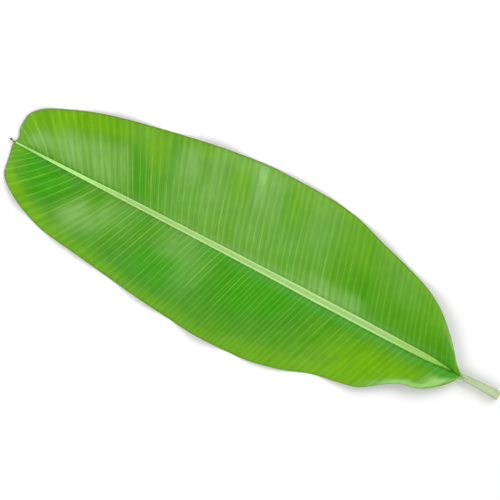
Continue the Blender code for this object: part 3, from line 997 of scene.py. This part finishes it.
def fleshy_midrib(colours):
    """Midrib and petiole: firm pale flesh with long fibres, bright rims and a greyer channel, its grey
    painted shade of the hollow.

    Towards the blade's base the dark green painted shade of the fold, where the two halves meet over
    it, covers its top, and the petiole is greyer, with olive edges and a few small brown scars.
    """
    material, add = new_material("Fleshy leaf midrib", 0.42, 1.42, 0.35)
    along, down = (add("Attribute", out="Fac", attribute_name=key) for key in ("along", "down"))
    place = add("TexCoord", out="Object")
    fibres = drawn_noise(add, place, (14.0, 1100.0, 700.0))
    blotch = add("TexNoise", {"Vector": place, "Scale": 28.0, "Detail": 3.0})

    rim = add("MapRange", (down, 0.07, 0.21), **SMOOTH)
    to_tip = add("MapRange", (along, 610.0, 715.0), **SMOOTH)
    to_base = add("MapRange", (along, 150.0, 35.0, 0.0, 0.9))
    low = add("MapRange", (down, 0.42, 0.62), **SMOOTH)
    petiole = add("MapRange", (along, 4.0, -14.0), **SMOOTH)
    edge = add("MapRange", (down, 0.50, 0.66, 0.0, 0.55))
    # The fold's painted dark green shade starts a little further down the petiole on the left
    left = add("MapRange", (add("SeparateXYZ", (place,), out="Y"), 0.0075, 0.0100, 0.0, 6.0))
    fold_shade = add("MapRange", (along, 17.0, 10.0, 0.0, 0.85), **SMOOTH)
    past = add("MapRange", (add("Math", (along, left)), -6.0, 2.0), **SMOOTH)
    upper = add("MapRange", (down, 0.45, 0.34))
    # The channel's greyer colour is painted shade of the hollow
    channel_colour, rim_colour = (
        layered(add, colour, (MINT_GREEN, to_tip))
        for colour in (colours.channel_colour, colours.rim_colour))
    body = layered(
        add, channel_colour, (rim_colour, rim), (BASE_YELLOW, to_base),
        (colours.keel_colour, low), (colours.petiole_colour, petiole),
        (PETIOLE_OLIVE, edge, petiole), (FOLD_SHADE_GREEN, fold_shade, past, upper))

    streak = add("MapRange", (fibres, 0.3, 0.7, 0.86, 1.10))
    body = add("VectorMath", {0: body, 3: streak}, operation="SCALE")
    scars = add("TexVoronoi", {"Vector": place, "Scale": 110.0})
    scar = add("MapRange", (scars, 0.17, 0.08))
    scarce = add("Math", (blotch, 0.50), operation="GREATER_THAN")
    body = layered(add, body, (SCAR_BROWN, scar, scarce, petiole))
    bump = add("Bump", {"Strength": 0.4, "Distance": 0.00012, "Height": fibres})
    return dressed(material, Base_Color=body, Normal=bump)


def dried_margin(colours):
    """Margin line: a thin seam of drier tissue, olive with brown stretches, and painted dark green shade
    near the base on the right half.
    """
    material, add = new_material("Dried leaf margin", 0.55, 1.45)
    place = add("TexCoord", out="Object")
    noise = add("TexNoise", {"Vector": place, "Scale": 35.0, "Detail": 3.0})
    brown = add("MapRange", (noise, 0.48, 0.72))
    along = add("SeparateXYZ", (place,))
    # Painted shade: the right half's margin darkens to the fold's green near the base, where it curls
    # down
    near_base_shade = add("MapRange", (along, -0.25, -0.35, 0.0, 0.8))
    right = add("Math", (along.node.outputs["Y"], 0.007), operation="LESS_THAN")
    body = layered(add, colours.margin_colour, (SCAR_BROWN, brown),
                   (FOLD_SHADE_GREEN, near_base_shade, right))
    return dressed(material, Base_Color=body)


def wet_cut(colours):
    """Freshly cut petiole: moist cream flesh between a green skin and rows of open air cells."""
    material, add = new_material("Moist cut petiole", 0.35, 1.38)
    cells = add("TexVoronoi", {"Vector": add("TexCoord", out="Object"), "Scale": 900.0},
                feature="DISTANCE_TO_EDGE")
    to_skin = add("Attribute", out="Fac", attribute_name="to_skin")
    wall = add("MapRange", (cells, 0.02, 0.14))
    skin = add("MapRange", (to_skin, 0.86, 0.96))
    body = layered(add, CUT_CREAM, (CELL_GREEN, wall), (colours.keel_colour, skin))
    bump = add("Bump", {"Strength": 0.5, "Distance": 0.0002, "Height": cells}, invert=True)
    return dressed(material, Base_Color=body, Normal=bump)


def withered_tissue(colours):
    """Dry tip: dead tissue, dark brown at the end and straw coloured in its folds, quite matt."""
    material, add = new_material("Withered leaf tip", 0.75, 1.48)
    place = add("TexCoord", out="Object")
    withered = add("Attribute", out="Fac", attribute_name="withered")
    noise = drawn_noise(add, place, (0.35, 1.0, 1.0), 3.0, scale=900.0)
    patch = add("TexNoise", {"Vector": place, "Scale": 240.0})
    knob = add("MapRange", (withered, 0.46, 0.72), **SMOOTH)
    foot = add("Math", (withered, 0.22, 0.14), operation="COMPARE")
    dark = add("Math", (knob, foot), operation="MAXIMUM")
    uneven = add("MapRange", (patch, 0.3, 0.6, 0.6))
    body = layered(add, STRAW, (DRY_BROWN, dark, uneven))
    shade = add("MapRange", (noise, 0.3, 0.7, 0.65, 1.25))
    body = add("VectorMath", {0: body, 3: shade}, operation="SCALE")
    bump = add("Bump", {"Strength": 0.7, "Distance": 0.0003, "Height": noise})
    return dressed(material, Base_Color=body, Normal=bump)


def matt_paper(colours):
    """Floor: matt white card, plain and pale."""
    material, add = new_material("Matt white card", 0.9, 1.45, 0.1)
    noise = add("TexNoise", {"Vector": add("TexCoord", out="Object"), "Scale": 600.0})
    shade = add("MapRange", (noise, 0.3, 0.7, 0.985, 1.0))
    body = add("VectorMath", {0: colours.floor_colour[:3], 3: shade}, operation="SCALE")
    return dressed(material, Base_Color=body)


def colour_property(name, description, hex_colour):
    """Colour that a user would change, with an sRGB hex default."""
    return FloatVectorProperty(name=name, description=description, default=linear(hex_colour),
                               size=4, subtype="COLOR", min=0.0, max=1.0)


def length_property(name, description, default, low, high):
    """Length that a user would change, in metres."""
    return FloatProperty(name=name, description=description, default=default, min=low, max=high,
                         subtype="DISTANCE", unit="LENGTH")


class LeafColours(bpy.types.PropertyGroup):
    """Colours of the leaf and of the floor."""
    # Also laid as painted shade in the deep patches and in the crease beside the midrib
    deep_colour: colour_property("Deep green", "Darkest green of the blade", "#368b00")
    blade_colour: colour_property("Blade green", "Main green of the blade", "#55960c")
    young_colour: colour_property("Young green", "Yellower green along the margins", "#6da800")
    vein_colour: colour_property("Vein green", "Pale green of the lateral veins", "#88bb55")
    # Also laid as painted sheen and glare on the upper face
    bloom_colour: colour_property("Bloom", "Whitish green of the waxy patches", "#83b35f")
    under_colour: colour_property("Underside", "Green of the blade's underside", "#7ba562")
    rim_colour: colour_property("Midrib rim", "Bright green of the midrib's two rims", "#b5df82")
    # Darker than the rims as painted shade in the midrib's hollow
    channel_colour: colour_property("Midrib channel", "Green in the midrib's hollow", "#98c272")
    keel_colour: colour_property("Keel", "Green of the midrib's underside", "#a3c07e")
    petiole_colour: colour_property("Petiole", "Grey green of the petiole", "#c2d1aa")
    margin_colour: colour_property("Margin", "Olive of the margin line", "#838f4e")
    floor_colour: colour_property("Floor", "White of the floor", "#f6f6f6")


class BladeSizes(bpy.types.PropertyGroup):
    """Sizes of the blade and its veins."""
    left_vein_pitch: length_property(
        "Left vein pitch", "Mean distance between lateral veins on the left half", 0.0103, 0.004, 0.03)
    right_vein_pitch: length_property(
        "Right vein pitch", "Mean distance between lateral veins on the right half", 0.0108, 0.004, 0.03)
    pleat_height: length_property(
        "Pleat height", "Height of the low folds between lateral veins", 0.00028, 0.0, 0.002)
    margin_thickness: length_property(
        "Margin thickness", "Thickness of the blade at its margin", 0.00045, 0.0002, 0.001)
    vein_radius: length_property(
        "Vein radius", "Radius of a lateral vein where it leaves the midrib", 0.00028, 0.0001, 0.001)
    margin_radius: length_property(
        "Margin radius", "Radius of the thin dry seam along the margin", 0.0004, 0.0001, 0.001)
    rows: IntProperty(name="Rows", description="Rows of faces along each half",
                      default=900, min=100, max=1200)
    columns: IntProperty(name="Columns", description="Columns of faces across each half",
                         default=34, min=8, max=60)


class MidribSizes(bpy.types.PropertyGroup):
    """Sizes of the midrib, the petiole and the dry tip."""
    rows: IntProperty(name="Rows", description="Sections along the midrib",
                      default=260, min=60, max=500)
    samples: IntProperty(name="Section steps", description="Steps between two points of a section",
                         default=7, min=2, max=12)
    flute_depth: length_property(
        "Flute depth", "Depth of the long shallow flutes on the keel", 0.00012, 0.0, 0.001)
    fibre_radius: length_property(
        "Fibre radius", "Radius of a raised fibre on the petiole", 0.00022, 0.00005, 0.001)
    cell_spacing: length_property(
        "Cell spacing", "Distance between air cells at the cut", 0.00145, 0.0008, 0.004)
    tip_width: FloatProperty(name="Tip width", description="Width of the dry tip, as a share",
                             default=1.0, min=0.5, max=1.5, subtype="FACTOR")


class StageSettings(bpy.types.PropertyGroup):
    """Light, floor and camera."""
    key_power: FloatProperty(name="Key light", description="Power of the large soft light",
                             default=70.0, min=0.0, max=2000.0, subtype="POWER", unit="POWER")
    fill_power: FloatProperty(name="Fill light", description="Power of each weaker light",
                              default=34.0, min=0.0, max=2000.0, subtype="POWER", unit="POWER")
    world_strength: FloatProperty(name="Surroundings", description="Strength of the even grey light",
                                  default=0.10, min=0.0, max=5.0)
    lens: FloatProperty(name="Lens", description="Focal length of the camera in millimetres",
                        default=150.0, min=20.0, max=400.0)


# Materials already made, by their makers
FINISHES = {}


def finish_of(*makers):
    """Materials of their makers, in order, each made once."""
    for maker in makers:
        if maker not in FINISHES:
            FINISHES[maker] = maker(bpy.context.scene.leaf_colours)
    return [FINISHES[maker] for maker in makers]


def lay_lines(name, source, maker, values):
    """Grow raised lines on the surface of a piece that an earlier operator made, and place them."""
    if source not in bpy.data.objects:
        raise RuntimeError(source + " has to be made first")
    tree = growing_tree("Lines on a surface", LINE_INPUTS, surface_lines)
    values["Seed"] = float(RELIEF_SEED)
    values["Material"] = finish_of(maker)[0]
    place_piece(grown_piece(name, bpy.data.objects[source], tree, values))


class LEAF_OT_blade(bpy.types.Operator):
    """Make the blade's two halves."""
    bl_idname = "leaf.blade"
    bl_label = "Blade"

    def execute(self, context):
        materials = finish_of(waxy_blade, matt_underside)
        for side in TURN:
            place_piece(blade_half(side, context.scene.leaf_blade, materials))
        return {"FINISHED"}


class LEAF_OT_midrib(bpy.types.Operator):
    """Make the midrib with its petiole, and the petiole's cut end."""
    bl_idname = "leaf.midrib"
    bl_label = "Midrib"

    def execute(self, context):
        midrib, outline = midrib_piece(context.scene.leaf_midrib, finish_of(fleshy_midrib))
        place_piece(midrib)
        face = cut_face(outline, finish_of(wet_cut))
        place_piece(face)
        spacing = context.scene.leaf_midrib.cell_spacing
        tree = growing_tree("Cell rims", {
            "Spacing": "Float", "Radius": "Float", "Wall": "Float", "Seed": "Int"}, cell_rims)
        place_piece(grown_piece("cut_cells", face, tree, {
            "Spacing": spacing, "Radius": CELL_RADIUS * spacing, "Wall": CELL_WALL * spacing,
            "Seed": RELIEF_SEED, "Material": finish_of(cell_wall)[0]}))
        return {"FINISHED"}


class LEAF_OT_veins(bpy.types.Operator):
    """Lay the raised lateral veins on both faces of each half."""
    bl_idname = "leaf.veins"
    bl_label = "Lateral veins"

    def execute(self, context):
        sizes = context.scene.leaf_blade
        faces = (("upper", UPPER_START, UPPER_SPAN, raised_vein),
                 ("under", 1.0 - UPPER_START, -UPPER_SPAN, pale_vein))
        for side in TURN:
            count = len(vein_places(side, sizes)) - 1
            for face, start, span, maker in faces:
                lay_lines("veins_" + face + "_" + side, "blade_" + side, maker, {
                    "Lines": count - 1, "First Line": (1.0 / count, start, 0.0),
                    "Line Step": (1.0 / count, 0.0, 0.0), "Line Reach": (0.0, VEIN_REACH * span, 0.0),
                    "Points": 40, "Radius": sizes.vein_radius, "End Radius Share": 0.35,
                    "Unevenness": 0.5, "Unevenness Scale": 60.0, "Clearness Share": 0.65, "Sides": 6})
        return {"FINISHED"}


class LEAF_OT_margin(bpy.types.Operator):
    """Run the thin dry seam along the margin of each half."""
    bl_idname = "leaf.margin"
    bl_label = "Margin"

    def execute(self, context):
        for side in TURN:
            lay_lines("margin_" + side, "blade_" + side, dried_margin, {
                "Lines": 1, "First Line": (SEAM_START, 0.5, 0.0), "Line Step": (0.0, 0.0, 0.0),
                "Line Reach": (1.0 - 2.0 * SEAM_START, 0.0, 0.0), "Points": 900,
                "Radius": context.scene.leaf_blade.margin_radius, "End Radius Share": 1.0,
                "Unevenness": 0.9, "Unevenness Scale": 90.0, "Clearness Share": 0.0, "Sides": 6})
        return {"FINISHED"}


class LEAF_OT_fibres(bpy.types.Operator):
    """Lay long raised fibres along the petiole and the keel."""
    bl_idname = "leaf.fibres"
    bl_label = "Fibres"

    def execute(self, context):
        lay_lines("fibres", "midrib", raised_fibre, {
            "Lines": FIBRES, "First Line": (SEAM_START, 0.5 / FIBRES, 0.0),
            "Line Step": (0.0, 1.0 / FIBRES, 0.0), "Line Reach": (FIBRE_REACH, 0.0, 0.0),
            "Points": 220, "Radius": context.scene.leaf_midrib.fibre_radius, "End Radius Share": 0.1,
            "Unevenness": 1.6, "Unevenness Scale": 25.0, "Clearness Share": 1.0, "Sides": 5})
        return {"FINISHED"}


class LEAF_OT_dry_tip(bpy.types.Operator):
    """Make the short withered spur at the tip, and the rolled corner beside it."""
    bl_idname = "leaf.dry_tip"
    bl_label = "Dry tip"

    def execute(self, context):
        place_piece(dry_tip(context.scene.leaf_midrib, finish_of(withered_tissue)))
        place_piece(tip_curl(finish_of(pale_curl)))
        return {"FINISHED"}


def soft_lamp(name, direction, size, power):
    """Large soft lamp that points at the leaf's middle from a direction."""
    light = bpy.data.lights.new(name, "AREA")
    light.shape = "RECTANGLE"
    light.size, light.size_y = size
    light.energy = power
    lamp = bare_object(name, light)
    way = Vector(direction).normalized()
    lamp.location = way * LAMP_DISTANCE
    lamp.rotation_euler = way.to_track_quat("Z", "Y").to_euler()


class LEAF_OT_stage(bpy.types.Operator):
    """Set out the floor, the soft lights and the camera."""
    bl_idname = "leaf.stage"
    bl_label = "Stage"

    def execute(self, context):
        stage = context.scene.leaf_stage
        mesh = bpy.data.meshes.new("floor")
        corners = [(x * FLOOR_REACH, y * FLOOR_REACH, 0.0) for x, y in FLOOR_CORNERS]
        mesh.from_pydata(corners, [], [(0, 1, 2, 3)])
        mesh.materials.append(finish_of(matt_paper)[0])
        floor = bare_object("floor", mesh)

        soft_lamp("key", KEY_DIRECTION, KEY_SIZE, stage.key_power)
        for count, direction in enumerate(FILL_DIRECTIONS, 1):
            soft_lamp("fill_" + str(count), direction, FILL_SIZE, stage.fill_power)
        world = bpy.data.worlds.new("Even grey surroundings")
        world.use_nodes = True
        background = world.node_tree.nodes["Background"]
        background.inputs["Color"].default_value = (1.0, 1.0, 1.0, 1.0)
        background.inputs["Strength"].default_value = stage.world_strength
        context.scene.world = world
        context.scene.view_settings.view_transform = "Standard"

        # The photograph looks straight down on the leaf with a long lens. The view's width takes
        # PHOTO_PIXELS at MM_PER_PIXEL, and its middle lies a little off the leaf's own middle.
        camera = bare_object("camera", bpy.data.cameras.new("camera"))
        camera.data.lens = stage.lens
        camera.data.sensor_width = SENSOR_WIDTH
        height = stage.lens * PHOTO_PIXELS * MM_PER_PIXEL * MM / SENSOR_WIDTH
        camera.location = (*VIEW_MIDDLE, height + LEAF_HEIGHT_SEEN)
        camera.rotation_euler = (0.0, 0.0, math.radians(VIEW_TURN))
        context.scene.camera = camera
        return {"FINISHED"}


class LEAF_PT_panel(bpy.types.Panel):
    """Panel that lists the leaf's sizes, colours and steps."""
    bl_idname = "LEAF_PT_panel"
    bl_label = "Banana leaf"
    bl_space_type = "VIEW_3D"
    bl_region_type = "UI"
    bl_category = "Leaf"

    def draw(self, context):
        layout = self.layout
        for name in GROUPS:
            group = getattr(context.scene, name)
            column = layout.box().column()
            for key in group.__annotations__:
                column.prop(group, key)
        for step in STEPS:
            layout.operator(step.bl_idname)


GROUPS = {"leaf_blade": BladeSizes, "leaf_midrib": MidribSizes,
          "leaf_colours": LeafColours, "leaf_stage": StageSettings}
STEPS = (LEAF_OT_blade, LEAF_OT_midrib, LEAF_OT_veins, LEAF_OT_margin, LEAF_OT_fibres,
         LEAF_OT_dry_tip, LEAF_OT_stage)


def register():
    """Register the groups, the operators and the panel."""
    for key, group in GROUPS.items():
        bpy.utils.register_class(group)
        setattr(bpy.types.Scene, key, PointerProperty(type=group))
    for step in STEPS:
        bpy.utils.register_class(step)
    bpy.utils.register_class(LEAF_PT_panel)


def unregister():
    """Take the panel, the operators and the groups out again."""
    bpy.utils.unregister_class(LEAF_PT_panel)
    for step in reversed(STEPS):
        bpy.utils.unregister_class(step)
    for key, group in GROUPS.items():
        delattr(bpy.types.Scene, key)
        bpy.utils.unregister_class(group)


def main():
    """Make the leaf and its stage."""
    register()
    bpy.ops.leaf.blade()
    bpy.ops.leaf.midrib()
    bpy.ops.leaf.veins()
    bpy.ops.leaf.margin()
    bpy.ops.leaf.fibres()
    bpy.ops.leaf.dry_tip()
    bpy.ops.leaf.stage()


if __name__ == "__main__":
    main()
